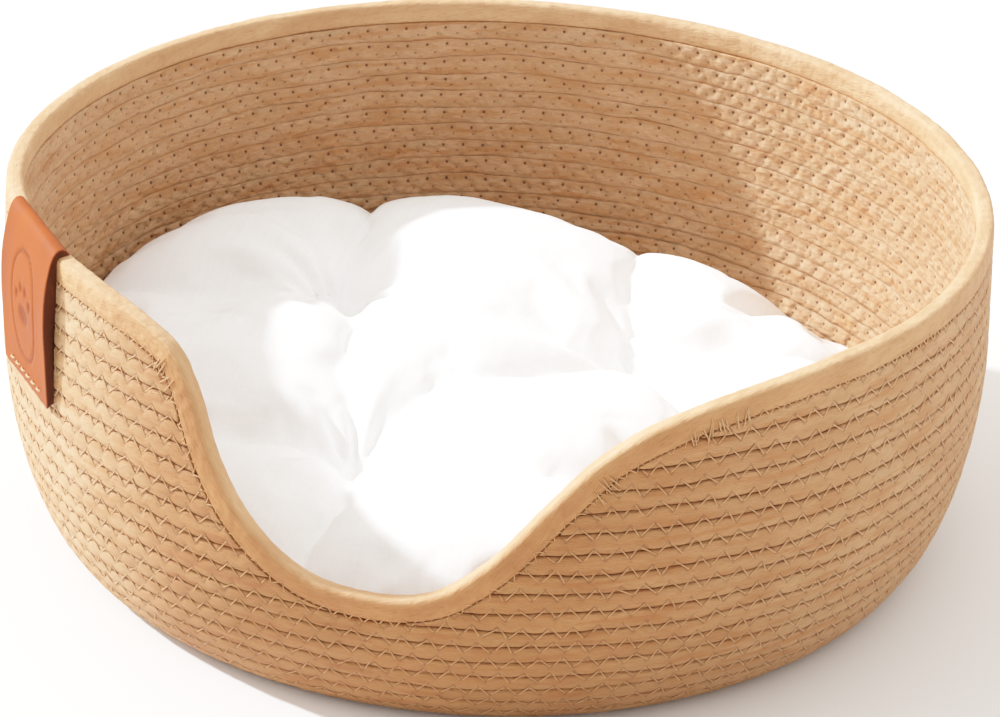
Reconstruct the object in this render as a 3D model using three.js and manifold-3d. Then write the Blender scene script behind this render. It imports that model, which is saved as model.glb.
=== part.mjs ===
// A round pet bed of coiled paper rope, with an entrance cut into its wall and a loose, tufted
// cushion inside. Millimetres, +Z up. The origin is the centre of the base's underside, and the
// entrance faces -Y. Angles round the basket are in degrees from the middle of the entrance,
// anticlockwise seen from above.
import * as THREE from 'three';
import { mergeVertices } from 'three/addons/utils/BufferGeometryUtils.js';
import Module from 'manifold-3d';

const wasm = await Module();
wasm.setup();

// Driving dimensions of the basket
const RIM_RADIUS = 200;
const BULGE_RADIUS = 203; // the wall is widest at the top of its rounded corner
const BASE_RADIUS = 172; // where the flat base turns up into the corner
const CORNER_HEIGHT = 90;
const ROPE_THICKNESS = 7.6;
const ROW_PITCH = 8.5;
const ROW_COUNT = 10; // rows that the entrance cuts through
const LOWER_WALL_HEIGHT = 52.3; // whole turns, below the entrance
const LOWER_WALL_TURNS = 8;
const BINDING_DIAMETER = 9.2;
const GAP = 0.4; // clearance between pieces that touch
const GROOVE_DEPTH = 0.9; // between two turns of the lower wall

// The basket stands a little taller to the left of the entrance.
const LIFT_SHARE = 0.055;
const LIFT_ANGLE = -45;
const LIFT_WIDTH = 35;

// Driving dimensions of the leather tag and its stitch
const TAG_ANGLE = -50.5;
const TAG_WIDTH = 45;
const TAG_THICKNESS = 1.8;
const TAG_BOTTOM = 91.5;
const TAG_INNER_FACE = 189.2; // distance from the basket's axis to the inner leg
const TAG_OUTER_FACE = 203.9; // and to the outer leg
const TAG_SLACK = 2.2; // the fold stands this far over the rim
const STITCH_HEIGHT = 96.2;
const STITCH_WIDTH = 30;
const THREAD = 1.2;

// Driving dimensions of the cushion
const CUSHION_RADIUS = 183;
const CUSHION_FLOOR = 8.3;
const CUSHION_SEAM = 34;
const CUSHION_CROWN = 68;
const PANEL_THICKNESS = 1.2;
const PANEL_GAP = 0.3;
const SEAM_GAP = 1;
const TUFTS = [[56, 27], [-79, 46], [-38, -82], [96, -90]];
const TUFT_DEPTH = 24;
const TUFT_SPREAD = 26;
const TUFT_TOP = 45; // height of the upper knot's top
const KNOT_RADIUS = 2.6;
const KNOT_HEIGHT = 0.9;
const TUFT_THREAD_RADIUS = 0.8;

// Facets
const ROW_STEPS = 36;
const ENTRANCE_STEPS = 40;
const RIM_STEPS = 32;
const CUSHION_RINGS = 8;
const CUSHION_SECTORS = 28;
const TUFT_SIDES = 8;

// Worked out from the driving dimensions
const ROWS_TOP = LOWER_WALL_HEIGHT + ROW_COUNT * ROW_PITCH;
const RIM_HEIGHT = ROWS_TOP + GAP + BINDING_DIAMETER;
const ENTRANCE_DEPTH = ROW_COUNT * ROW_PITCH;
const ARC_PER_DEGREE = (Math.PI * RIM_RADIUS) / 180;

// The entrance's outline: the angle round the rim, and how far the rim's top has dropped, as a
// share of the entrance's depth. The left flank is the steeper one.
const ENTRANCE_OUTLINE = [
  [-40, 0],
  [-30, 0.03],
  [-24.5, 0.1],
  [-21.5, 0.26],
  [-18.5, 0.53],
  [-14, 0.78],
  [-8, 0.95],
  [-1, 1],
  [6, 0.96],
  [12, 0.78],
  [18.5, 0.48],
  [24.5, 0.25],
  [32, 0.11],
  [41, 0.035],
  [52, 0],
];

const ROPE_COLOUR = 0xd8b48c;
const BINDING_COLOUR = 0xe2c29b;
const LEATHER_COLOUR = 0xd98e54;
const THREAD_COLOUR = 0xe8d6b8;
const COTTON_COLOUR = 0xf6f3ef;
const FILLING_COLOUR = 0xeeeeea;

const group = new THREE.Group();

// Adds one named piece, with its own material, to the model.
function addPiece(name, geometry, colour, roughness) {
  const material = new THREE.MeshStandardMaterial({ color: colour, roughness, metalness: 0 });
  const mesh = new THREE.Mesh(geometry, material);
  mesh.name = name;
  group.add(mesh);
  return mesh;
}

function positionsOnly(geometry) {
  geometry.deleteAttribute('normal');
  geometry.deleteAttribute('uv');
  return mergeVertices(geometry);
}

function toManifold(geometry) {
  const merged = positionsOnly(geometry.clone());
  return new wasm.Manifold(new wasm.Mesh({
    numProp: 3,
    vertProperties: new Float32Array(merged.attributes.position.array),
    triVerts: new Uint32Array(merged.index.array),
  }));
}

function cut(geometry, cutters) {
  let solid = toManifold(geometry);
  for (const cutter of cutters) solid = solid.subtract(toManifold(cutter));
  const mesh = solid.getMesh();
  const result = new THREE.BufferGeometry();
  result.setAttribute('position', new THREE.BufferAttribute(mesh.vertProperties, 3));
  result.setIndex(new THREE.BufferAttribute(mesh.triVerts, 1));
  return result;
}

function geometryFrom(points, triangles) {
  const geometry = new THREE.BufferGeometry().setFromPoints(points);
  geometry.setIndex(triangles);
  return geometry;
}

// A closed ring through a list of sections, each a closed list of as many points, which run
// anticlockwise seen along the ring.
function ringSolid(sections) {
  const sides = sections[0].length;
  const triangles = [];
  for (let i = 0; i < sections.length; i++) {
    const next = (i + 1) % sections.length;
    for (let j = 0; j < sides; j++) {
      const a = i * sides + j;
      const b = i * sides + ((j + 1) % sides);
      const c = next * sides + ((j + 1) % sides);
      const d = next * sides + j;
      triangles.push(a, c, b, a, d, c);
    }
  }
  return geometryFrom(sections.flat(), triangles);
}

// The wall

function wallLift(angle) {
  const turned = THREE.MathUtils.euclideanModulo(angle - LIFT_ANGLE + 180, 360) - 180;
  return 1 + LIFT_SHARE * Math.exp(-((turned / LIFT_WIDTH) ** 2));
}

// The wall's outer radius at a height: an ellipse's quarter, then a slight lean inwards.
function wallRadius(height) {
  if (height < CORNER_HEIGHT) {
    const below = 1 - height / CORNER_HEIGHT;
    return BASE_RADIUS + (BULGE_RADIUS - BASE_RADIUS) * Math.sqrt(1 - below * below);
  }
  const above = (height - CORNER_HEIGHT) / (RIM_HEIGHT - CORNER_HEIGHT);
  return BULGE_RADIUS + (RIM_RADIUS - BULGE_RADIUS) * Math.min(above, 1);
}

// A point of the wall: its angle, its height before the lift, and how far it lies outside the
// middle of the rope.
function wallPoint(angle, height, out) {
  const radius = wallRadius(height) - ROPE_THICKNESS / 2 + out;
  const theta = THREE.MathUtils.degToRad(angle - 90);
  return new THREE.Vector3(
    radius * Math.cos(theta),
    radius * Math.sin(theta),
    height * wallLift(angle),
  );
}

function ropeSection(thickness, height) {
  const flat = thickness / 3;
  return [
    [thickness / 2, 0],
    [flat, height / 2],
    [-flat, height / 2],
    [-thickness / 2, 0],
    [-flat, -height / 2],
    [flat, -height / 2],
  ];
}

// The rim's line: points of (distance round the rim, height), closely spaced in the entrance.
function rimLine() {
  const outline = ENTRANCE_OUTLINE.map(([angle, drop]) => new THREE.Vector2(
    angle * ARC_PER_DEGREE,
    RIM_HEIGHT - drop * ENTRANCE_DEPTH,
  ));
  const line = new THREE.SplineCurve(outline).getSpacedPoints(ENTRANCE_STEPS);
  const start = line[line.length - 1].x;
  const length = 360 * ARC_PER_DEGREE - (start - line[0].x);
  for (let i = 1; i < RIM_STEPS; i++) {
    line.push(new THREE.Vector2(start + (length * i) / RIM_STEPS, RIM_HEIGHT));
  }
  return line;
}

// Moves each point of the rim's line square to it, down into the wall.
function sunkLine(depth) {
  const line = rimLine();
  const round = 360 * ARC_PER_DEGREE;
  return line.map((point, i) => {
    const last = line[(i + line.length - 1) % line.length];
    const next = line[(i + 1) % line.length];
    const along = THREE.MathUtils.euclideanModulo(next.x - last.x, round);
    const tangent = new THREE.Vector2(along, next.y - last.y).normalize();
    return {
      x: point.x + tangent.y * depth,
      y: point.y - tangent.x * depth,
      tangent,
    };
  });
}

function bindingGeometry() {
  const section = ropeSection(BINDING_DIAMETER, BINDING_DIAMETER);
  const sections = sunkLine(BINDING_DIAMETER / 2).map(({ x, y, tangent }) => (
    section.map(([out, up]) => wallPoint(
      (x - up * tangent.y) / ARC_PER_DEGREE,
      y + up * tangent.x,
      out,
    ))
  ));
  return ringSolid(sections);
}

// The space over the rows that the binding and the entrance take up.
function entranceCutter() {
  const reach = 20;
  const ceiling = RIM_HEIGHT * 1.5;
  const sections = sunkLine(BINDING_DIAMETER + GAP).map(({ x, y }) => {
    const angle = x / ARC_PER_DEGREE;
    const floor = Math.max(y, LOWER_WALL_HEIGHT);
    const clear = y > ROWS_TOP - GAP / 10 ? ROWS_TOP + GAP : floor;
    return [
      wallPoint(angle, clear, reach),
      wallPoint(angle, ceiling, reach),
      wallPoint(angle, ceiling, -reach),
      wallPoint(angle, clear, -reach),
    ];
  });
  return ringSolid(sections);
}

function rowGeometry(row, cutters) {
  const height = ROW_PITCH - GAP;
  const middle = LOWER_WALL_HEIGHT + GAP + row * ROW_PITCH + height / 2;
  const section = ropeSection(ROPE_THICKNESS, height);
  const sections = [];
  for (let i = 0; i < ROW_STEPS; i++) {
    const angle = (360 * i) / ROW_STEPS;
    sections.push(section.map(([out, up]) => wallPoint(angle, middle + up, out)));
  }
  return cut(ringSolid(sections), cutters);
}

// The whole turns between the flat base and the entrance, as one grooved shell.
function lowerWallGeometry() {
  const endAngle = Math.asin(LOWER_WALL_HEIGHT / CORNER_HEIGHT - 1);
  const width = BULGE_RADIUS - BASE_RADIUS;
  const corner = new THREE.EllipseCurve(
    BASE_RADIUS, CORNER_HEIGHT, width, CORNER_HEIGHT, -Math.PI / 2, endAngle,
  );
  const outer = [];
  const inner = [];
  for (let turn = 0; turn < LOWER_WALL_TURNS; turn++) {
    for (const [share, groove] of [[0, GROOVE_DEPTH], [0.3, 0], [0.7, 0]]) {
      const at = (turn + share) / LOWER_WALL_TURNS;
      const point = corner.getPointAt(at);
      const tangent = corner.getTangentAt(at);
      const inwards = new THREE.Vector2(-tangent.y, tangent.x);
      outer.push(point.clone().addScaledVector(inwards, turn === 0 ? 0 : groove));
      if (share === 0) inner.unshift(point.clone().addScaledVector(inwards, ROPE_THICKNESS));
    }
  }
  const top = corner.getPointAt(1);
  const topInside = new THREE.Vector2(top.x - ROPE_THICKNESS, top.y);
  const profile = [...outer, top, topInside, ...inner, outer[0]];
  const geometry = positionsOnly(new THREE.LatheGeometry(profile, ROW_STEPS));
  geometry.rotateX(Math.PI / 2);
  const position = geometry.attributes.position;
  for (let i = 0; i < position.count; i++) {
    const angle = THREE.MathUtils.radToDeg(Math.atan2(position.getY(i), position.getX(i))) + 90;
    position.setZ(i, position.getZ(i) * wallLift(angle));
  }
  return geometry;
}

function baseGeometry() {
  const radius = BASE_RADIUS - GAP;
  const geometry = new THREE.CylinderGeometry(radius, radius, ROPE_THICKNESS, ROW_STEPS);
  geometry.rotateX(Math.PI / 2);
  geometry.translate(0, 0, ROPE_THICKNESS / 2);
  return geometry;
}

// The leather tag: one strip folded over the rim, and the thread loop that holds its two legs.
// Both are drawn facing +X, and turned to their place.

function turnToTag(geometry) {
  geometry.rotateZ(THREE.MathUtils.degToRad(TAG_ANGLE - 90));
  return geometry;
}

function tagStrip() {
  const middle = (TAG_INNER_FACE + TAG_OUTER_FACE) / 2;
  const reach = (TAG_OUTER_FACE - TAG_INNER_FACE) / 2;
  const rimTop = RIM_HEIGHT * wallLift(TAG_ANGLE);
  const archHeight = rimTop + TAG_SLACK - reach;
  const shape = new THREE.Shape();
  shape.moveTo(TAG_OUTER_FACE, TAG_BOTTOM);
  shape.lineTo(TAG_OUTER_FACE + TAG_THICKNESS, TAG_BOTTOM);
  shape.absarc(middle, archHeight, reach + TAG_THICKNESS, 0, Math.PI, false);
  shape.lineTo(TAG_INNER_FACE - TAG_THICKNESS, TAG_BOTTOM);
  shape.lineTo(TAG_INNER_FACE, TAG_BOTTOM);
  shape.absarc(middle, archHeight, reach, Math.PI, 0, true);
  const options = { depth: TAG_WIDTH, bevelEnabled: false, curveSegments: 10 };
  const geometry = new THREE.ExtrudeGeometry(shape, options);
  geometry.translate(0, 0, -TAG_WIDTH / 2);
  geometry.rotateX(Math.PI / 2);
  return turnToTag(geometry);
}

function stitchLoop() {
  const nearSide = TAG_INNER_FACE - TAG_THICKNESS - GAP - THREAD;
  const farSide = TAG_OUTER_FACE + TAG_THICKNESS + GAP + THREAD;
  const half = STITCH_WIDTH / 2;
  const shape = new THREE.Shape([
    new THREE.Vector2(nearSide, -half),
    new THREE.Vector2(farSide, -half),
    new THREE.Vector2(farSide, half),
    new THREE.Vector2(nearSide, half),
  ]);
  shape.holes.push(new THREE.Path([
    new THREE.Vector2(nearSide + THREAD, THREAD - half),
    new THREE.Vector2(nearSide + THREAD, half - THREAD),
    new THREE.Vector2(farSide - THREAD, half - THREAD),
    new THREE.Vector2(farSide - THREAD, THREAD - half),
  ]));
  const geometry = new THREE.ExtrudeGeometry(shape, { depth: THREAD, bevelEnabled: false });
  geometry.translate(0, 0, STITCH_HEIGHT - THREAD / 2);
  return turnToTag(geometry);
}

function stitchHoles() {
  const size = THREAD + 2 * GAP;
  return [-1, 1].map((side) => {
    const hole = new THREE.BoxGeometry(2 * RIM_RADIUS, size, size);
    hole.translate(RIM_RADIUS, (side * (STITCH_WIDTH - THREAD)) / 2, STITCH_HEIGHT);
    return turnToTag(hole);
  });
}

// The cushion

function tuftPull(x, y) {
  let pull = 0;
  for (const [tuftX, tuftY] of TUFTS) {
    const distance = Math.hypot(x - tuftX, y - tuftY);
    pull += Math.exp(-((distance / TUFT_SPREAD) ** 2));
  }
  return pull;
}

// The two faces of the cushion, shrunk inwards by an inset. Each gives a height for a share of
// the radius and a point.
function topFace(inset, edge) {
  return (share, x, y) => {
    const crown = CUSHION_CROWN - inset - edge;
    return edge + crown * Math.sqrt(1 - share ** 4) - TUFT_DEPTH * tuftPull(x, y) * (1 - share ** 4);
  };
}

function bottomFace(inset, edge) {
  const flatShare = 0.76;
  return (share, x, y) => {
    const floor = CUSHION_FLOOR + inset;
    const rise = Math.max(0, (share - flatShare) / (1 - flatShare));
    const dimple = 2 * tuftPull(x, y) * (1 - rise);
    return floor + (edge - floor) * (1 - Math.sqrt(1 - rise * rise)) + dimple;
  };
}

// A closed round solid between two faces, each with a radius of its own.
function discSolid(upper, upperRadius, lower, lowerRadius) {
  const points = [];
  for (const [face, radius] of [[upper, upperRadius], [lower, lowerRadius]]) {
    points.push(new THREE.Vector3(0, 0, face(0, 0, 0)));
    for (let ring = 1; ring <= CUSHION_RINGS; ring++) {
      const share = Math.sin((ring / CUSHION_RINGS) * (Math.PI / 2));
      for (let sector = 0; sector < CUSHION_SECTORS; sector++) {
        const theta = (2 * Math.PI * sector) / CUSHION_SECTORS;
        const x = share * radius * Math.cos(theta);
        const y = share * radius * Math.sin(theta);
        points.push(new THREE.Vector3(x, y, face(share, x, y)));
      }
    }
  }
  const lowerStart = 1 + CUSHION_RINGS * CUSHION_SECTORS;
  const at = (start, ring, sector) => start + 1 + (ring - 1) * CUSHION_SECTORS + sector;
  const triangles = [];
  for (let sector = 0; sector < CUSHION_SECTORS; sector++) {
    const next = (sector + 1) % CUSHION_SECTORS;
    triangles.push(0, at(0, 1, sector), at(0, 1, next));
    triangles.push(lowerStart, at(lowerStart, 1, next), at(lowerStart, 1, sector));
    for (let ring = 1; ring < CUSHION_RINGS; ring++) {
      const [a, b] = [at(0, ring, sector), at(0, ring, next)];
      const [c, d] = [at(0, ring + 1, sector), at(0, ring + 1, next)];
      triangles.push(a, c, d, a, d, b);
      const [e, f] = [at(lowerStart, ring, sector), at(lowerStart, ring, next)];
      const [g, h] = [at(lowerStart, ring + 1, sector), at(lowerStart, ring + 1, next)];
      triangles.push(e, h, g, e, f, h);
    }
    const [a, b] = [at(0, CUSHION_RINGS, sector), at(0, CUSHION_RINGS, next)];
    const [c, d] = [at(lowerStart, CUSHION_RINGS, sector), at(lowerStart, CUSHION_RINGS, next)];
    triangles.push(a, c, d, a, d, b);
  }
  return geometryFrom(points, triangles);
}

// A thread through the cushion with a flat knot at each end, or the hole for one: the same shape
// grown by a clearance and run on past both faces.
function tuftShape([x, y], grow, runOut) {
  const low = CUSHION_FLOOR + KNOT_HEIGHT + grow;
  const high = TUFT_TOP - KNOT_HEIGHT - grow;
  const bottom = CUSHION_FLOOR - runOut;
  const top = TUFT_TOP + runOut;
  const profile = [
    [0, bottom],
    [KNOT_RADIUS + grow, bottom],
    [KNOT_RADIUS + grow, low],
    [TUFT_THREAD_RADIUS + grow, low],
    [TUFT_THREAD_RADIUS + grow, high],
    [KNOT_RADIUS + grow, high],
    [KNOT_RADIUS + grow, top],
    [0, top],
  ];
  const points = profile.map(([radius, height]) => new THREE.Vector2(radius, height));
  const geometry = positionsOnly(new THREE.LatheGeometry(points, TUFT_SIDES));
  geometry.rotateX(Math.PI / 2);
  geometry.translate(x, y, 0);
  return geometry;
}

function addCushion() {
  const holes = TUFTS.map((tuft) => tuftShape(tuft, PANEL_GAP, CUSHION_CROWN));
  const topEdge = CUSHION_SEAM + SEAM_GAP / 2;
  const bottomEdge = CUSHION_SEAM - SEAM_GAP / 2;
  const lining = CUSHION_RADIUS - PANEL_THICKNESS;
  const inside = PANEL_THICKNESS + PANEL_GAP;
  const topPanel = discSolid(
    topFace(0, topEdge), CUSHION_RADIUS, topFace(PANEL_THICKNESS, topEdge), lining,
  );
  const bottomPanel = discSolid(
    bottomFace(PANEL_THICKNESS, bottomEdge), lining, bottomFace(0, bottomEdge), CUSHION_RADIUS,
  );
  const filling = discSolid(
    topFace(inside, topEdge - PANEL_GAP), CUSHION_RADIUS - inside,
    bottomFace(inside, bottomEdge + PANEL_GAP), CUSHION_RADIUS - inside,
  );
  addPiece('cushion_top_panel', cut(topPanel, holes), COTTON_COLOUR, 0.9);
  addPiece('cushion_filling', cut(filling, holes), FILLING_COLOUR, 1);
  addPiece('cushion_bottom_panel', cut(bottomPanel, holes), COTTON_COLOUR, 0.9);
  TUFTS.forEach((tuft, i) => {
    addPiece(`tuft_thread_${i + 1}`, tuftShape(tuft, 0, 0), COTTON_COLOUR, 0.8);
  });
}

function addBasket() {
  addPiece('base_coil', baseGeometry(), ROPE_COLOUR, 0.85);
  addPiece('lower_wall_coil', lowerWallGeometry(), ROPE_COLOUR, 0.85);
  const cutters = [entranceCutter(), ...stitchHoles()];
  for (let row = 0; row < ROW_COUNT; row++) {
    const name = `wall_row_${String(row + 1).padStart(2, '0')}`;
    addPiece(name, rowGeometry(row, cutters), ROPE_COLOUR, 0.85);
  }
  addPiece('rim_binding', bindingGeometry(), BINDING_COLOUR, 0.7);
}

function addTag() {
  addPiece('leather_tag', cut(tagStrip(), stitchHoles()), LEATHER_COLOUR, 0.5);
  addPiece('tag_stitch', stitchLoop(), THREAD_COLOUR, 0.7);
}

addBasket();
addTag();
addCushion();

export default group;
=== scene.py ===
"""Looks of a coiled paper-rope pet bed with a loose tufted cushion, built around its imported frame.

Sizes are in millimetres and turn into metres when a mesh is made. Angles round the basket are in
degrees from the middle of the entrance, which faces -Y, anticlockwise seen from above.
"""
import math

import bpy
import numpy as np
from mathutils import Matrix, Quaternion, Vector


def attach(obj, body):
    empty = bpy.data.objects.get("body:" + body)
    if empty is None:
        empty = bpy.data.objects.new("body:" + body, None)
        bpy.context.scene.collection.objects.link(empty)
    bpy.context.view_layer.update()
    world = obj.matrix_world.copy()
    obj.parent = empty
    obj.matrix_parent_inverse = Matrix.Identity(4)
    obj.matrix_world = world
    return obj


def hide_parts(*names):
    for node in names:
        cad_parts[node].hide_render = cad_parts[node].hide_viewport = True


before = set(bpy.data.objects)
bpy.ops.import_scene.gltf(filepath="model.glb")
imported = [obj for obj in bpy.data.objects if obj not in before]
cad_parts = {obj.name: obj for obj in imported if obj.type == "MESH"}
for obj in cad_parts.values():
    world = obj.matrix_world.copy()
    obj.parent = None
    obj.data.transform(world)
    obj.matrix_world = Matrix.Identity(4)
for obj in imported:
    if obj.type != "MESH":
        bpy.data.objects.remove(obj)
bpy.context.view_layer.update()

MM = 0.001
RNG = np.random.RandomState(41)

# Driving dimensions, the same as the frame's
RIM_RADIUS = 200.0
BULGE_RADIUS = 203.0
BASE_RADIUS = 172.0
CORNER_HEIGHT = 90.0
ROPE_THICKNESS = 7.6
ROW_PITCH = 8.5
ROW_COUNT = 10
LOWER_WALL_HEIGHT = 52.3
LOWER_TURNS = 8
BINDING_DIAMETER = 9.2
GAP = 0.4
LIFT_SHARE, LIFT_ANGLE, LIFT_WIDTH = 0.055, -45.0, 35.0
RIM_HEIGHT = LOWER_WALL_HEIGHT + ROW_COUNT * ROW_PITCH + GAP + BINDING_DIAMETER
ARC_PER_DEGREE = math.pi * RIM_RADIUS / 180

# The entrance's outline: (angle, share of the entrance's depth that the rim has dropped)
ENTRANCE_OUTLINE = [
    (-40, 0), (-30, 0.03), (-24.5, 0.1), (-21.5, 0.26), (-18.5, 0.53), (-14, 0.78), (-8, 0.95),
    (-1, 1), (6, 0.96), (12, 0.78), (18.5, 0.48), (24.5, 0.25), (32, 0.11), (41, 0.035), (52, 0),
]

# The zig-zag seams. A leg is drawn through points at LEG_SHARES of its length, which stand
# SEAM_OUTS or BINDING_OUTS out of the wall's middle.
STITCH_LENGTH = 9.4
STITCH_REACH = 2.7
THREAD_RADIUS = 0.27
THREAD_SIDES = 6
STEPS_PER_STITCH = 10
LEG_SHARES = [0.0, 0.14, 0.5, 0.86]
LEG_SLOPE = 0.67  # turns a height over a sloping leg into the distance from it
SEAM_OUTS = [2.7, 3.68, 3.64, 3.68]
BINDING_OUTS = [2.4, 3.7, 3.35, 3.7]

# The binding's section: a little narrower than the frame's, and flatter inside the basket
BINDING_WIDTH = 7.6
BINDING_POWER = 5.0
BINDING_INSIDE = 0.86
BINDING_SEAT = 0.8  # its lower side is pressed this far down on to the cut rows
BINDING_SIDES = 20
BINDING_STEP = 1.45
BINDING_STITCH = 5.4
BINDING_REACH = 1.7


# ---------- helpers: meshes

def new_object(name, mesh):
    piece = bpy.data.objects.new(name, mesh)
    bpy.context.scene.collection.objects.link(piece)
    return piece


def tube_part(points, closed, uvs=None, values=None):
    """A tube through points[station, side, xyz], whose sections run clockwise seen along it.

    UVs have one more side than the points, and one more station where the tube is closed.
    """
    stations, sides = points.shape[:2]
    last = stations if closed else stations - 1
    i, j = np.meshgrid(np.arange(last), np.arange(sides), indexing="ij")
    corners = [(0, 0), (1, 0), (1, 1), (0, 1)]
    quads = np.stack([(i + di) % stations * sides + (j + dj) % sides for di, dj in corners], -1)
    triangles = np.zeros((0, 3), int)
    if not closed:
        fan = np.arange(1, sides - 1)
        start = np.stack([np.zeros_like(fan), fan, fan + 1], -1)
        end = (stations - 1) * sides + np.stack([np.zeros_like(fan), fan + 1, fan], -1)
        triangles = np.concatenate([start, end])
    quad_uvs = {key: np.stack([grid[i + di, j + dj] for di, dj in corners], -2).reshape(-1, 4, 2)
                for key, grid in (uvs or {}).items()}
    flat_values = {key: grid.ravel() for key, grid in (values or {}).items()}
    return points.reshape(-1, 3), quads.reshape(-1, 4), triangles, quad_uvs, flat_values


def fill(target, key, values, kind=np.float32):
    target.foreach_set(key, np.asarray(values).astype(kind).ravel())


def mesh_from(name, parts):
    """One smooth mesh from parts made by tube_part, with their points in mm."""
    offsets = np.cumsum([0] + [len(part[0]) for part in parts])
    points = np.concatenate([part[0] for part in parts])
    quads = np.concatenate([part[1] + offset for part, offset in zip(parts, offsets)])
    triangles = np.concatenate([part[2] + offset for part, offset in zip(parts, offsets)])
    corners = np.concatenate([quads.ravel(), triangles.ravel()])
    mesh = bpy.data.meshes.new(name)
    mesh.vertices.add(len(points))
    fill(mesh.vertices, "co", points * MM)
    mesh.loops.add(len(corners))
    fill(mesh.loops, "vertex_index", corners, np.int32)
    starts = np.concatenate([np.arange(len(quads)) * 4,
                             len(quads) * 4 + np.arange(len(triangles)) * 3])
    mesh.polygons.add(len(starts))
    fill(mesh.polygons, "loop_start", starts, np.int32)
    fill(mesh.polygons, "use_smooth", np.ones(len(starts)), bool)
    for key in parts[0][3]:
        layer = mesh.uv_layers.new(name=key)
        flat = np.concatenate([part[3][key].reshape(-1, 2) for part in parts]
                              + [np.zeros((triangles.size, 2))])
        fill(layer.data, "uv", flat)
    for key in parts[0][4]:
        attribute = mesh.attributes.new(key, "FLOAT", "POINT")
        fill(attribute.data, "value", np.concatenate([part[4][key] for part in parts]))
    mesh.update(calc_edges=True)
    mesh.validate()
    return mesh


def quad_mesh(name, points, quads):
    return mesh_from(name, [(points, quads, np.zeros((0, 3), int), {}, {})])


def thread_mesh(name, paths, radius):
    """Round tubes along open or closed paths, as one mesh. Each path is (points, closed)."""
    parts = []
    around = 2 * np.pi * np.arange(THREAD_SIDES) / THREAD_SIDES
    for points, closed in paths:
        ahead = np.roll(points, -1, 0) - np.roll(points, 1, 0)
        if not closed:
            ahead[0] = points[1] - points[0]
            ahead[-1] = points[-1] - points[-2]
        ahead /= np.linalg.norm(ahead, axis=1, keepdims=True)
        side = np.cross(ahead, [0.01, 0.02, 1])
        side /= np.linalg.norm(side, axis=1, keepdims=True)
        up = np.cross(side, ahead)
        ring = (side[:, None] * np.cos(around)[None, :, None]
                + up[:, None] * np.sin(around)[None, :, None])
        parts.append(tube_part(points[:, None] + radius * ring, closed))
    return mesh_from(name, parts)


def add_piece(mesh, body, material, replaces=()):
    mesh.materials.append(material)
    piece = new_object(mesh.name, mesh)
    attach(piece, body)
    if replaces:
        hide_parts(*replaces)
    return piece


def ripple(theta, low, high, size):
    """A smooth random wave round the basket, made of the harmonics from low to high."""
    orders = np.arange(low, high + 1)
    weights = RNG.normal(size=len(orders))
    phases = RNG.uniform(0, 2 * np.pi, len(orders))
    weights *= size * math.sqrt(2) / np.linalg.norm(weights)
    return np.cos(np.multiply.outer(theta, orders) + phases) @ weights


# ---------- the wall's shape

def bell(angle, centre, width):
    """1 at one angle round the basket, and dying away from it on both sides."""
    return np.exp(-(((angle - centre + 180) % 360 - 180) / width) ** 2)


def wall_lift(angle):
    return 1 + LIFT_SHARE * bell(angle, LIFT_ANGLE, LIFT_WIDTH)


def wall_radius(height):
    below = 1 - np.clip(height, 0, CORNER_HEIGHT) / CORNER_HEIGHT
    corner = BASE_RADIUS + (BULGE_RADIUS - BASE_RADIUS) * np.sqrt(1 - below * below)
    above = np.clip((height - CORNER_HEIGHT) / (RIM_HEIGHT - CORNER_HEIGHT), 0, 1)
    return corner + (RIM_RADIUS - BULGE_RADIUS) * above


def meridian_table():
    """Distance along the outer wall from the base's edge, with radius, height and slope."""
    end = math.asin(LOWER_WALL_HEIGHT / CORNER_HEIGHT - 1)
    turn = np.linspace(-math.pi / 2, end, 400)
    radius = BASE_RADIUS + (BULGE_RADIUS - BASE_RADIUS) * np.cos(turn)
    height = CORNER_HEIGHT * (1 + np.sin(turn))
    run = np.concatenate([[0], np.cumsum(np.hypot(np.diff(radius), np.diff(height)))])
    slope = np.arctan2(np.gradient(height), np.gradient(radius))
    return run, radius, height, slope


RUN, RUN_RADIUS, RUN_HEIGHT, RUN_SLOPE = meridian_table()
LOWER_RUN = RUN[-1]


def wall_point(angle, run, out):
    """A point at a distance up the wall's meridian, and out from the middle of the rope."""
    depth = out - ROPE_THICKNESS / 2
    low = run < LOWER_RUN
    upright = LOWER_WALL_HEIGHT + run - LOWER_RUN
    slope = np.where(low, np.interp(run, RUN, RUN_SLOPE), math.pi / 2)
    slope = np.where(low & (run > LOWER_RUN - 12),
                     slope + (math.pi / 2 - RUN_SLOPE[-1]) * (run - LOWER_RUN + 12) / 12, slope)
    radius = np.where(low, np.interp(run, RUN, RUN_RADIUS), wall_radius(upright))
    height = np.where(low, np.interp(run, RUN, RUN_HEIGHT), upright)
    radius = radius + depth * np.sin(slope)
    height = (height - depth * np.cos(slope)) * wall_lift(angle)
    theta = np.radians(angle - 90)
    return np.stack([radius * np.cos(theta), radius * np.sin(theta), height], -1)


def spline_points(outline, count):
    """The Catmull-Rom curve through an outline, evenly spaced."""
    outline = np.array(outline, float)
    padded = np.vstack([outline[:1], outline, outline[-1:]])
    steps = np.linspace(0, 1, 60, endpoint=False)[:, None]
    pieces = []
    for p0, p1, p2, p3 in zip(padded, padded[1:], padded[2:], padded[3:]):
        v0, v1 = (p2 - p0) / 2, (p3 - p1) / 2
        pieces.append((2 * p1 - 2 * p2 + v0 + v1) * steps ** 3
                      + (-3 * p1 + 3 * p2 - 2 * v0 - v1) * steps ** 2 + v0 * steps + p1)
    fine = np.vstack(pieces + [outline[-1:]])
    run = np.concatenate([[0], np.cumsum(np.hypot(*np.diff(fine, axis=0).T))])
    even = np.linspace(0, run[-1], count)
    return np.stack([np.interp(even, run, fine[:, 0]), np.interp(even, run, fine[:, 1])], -1)


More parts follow.
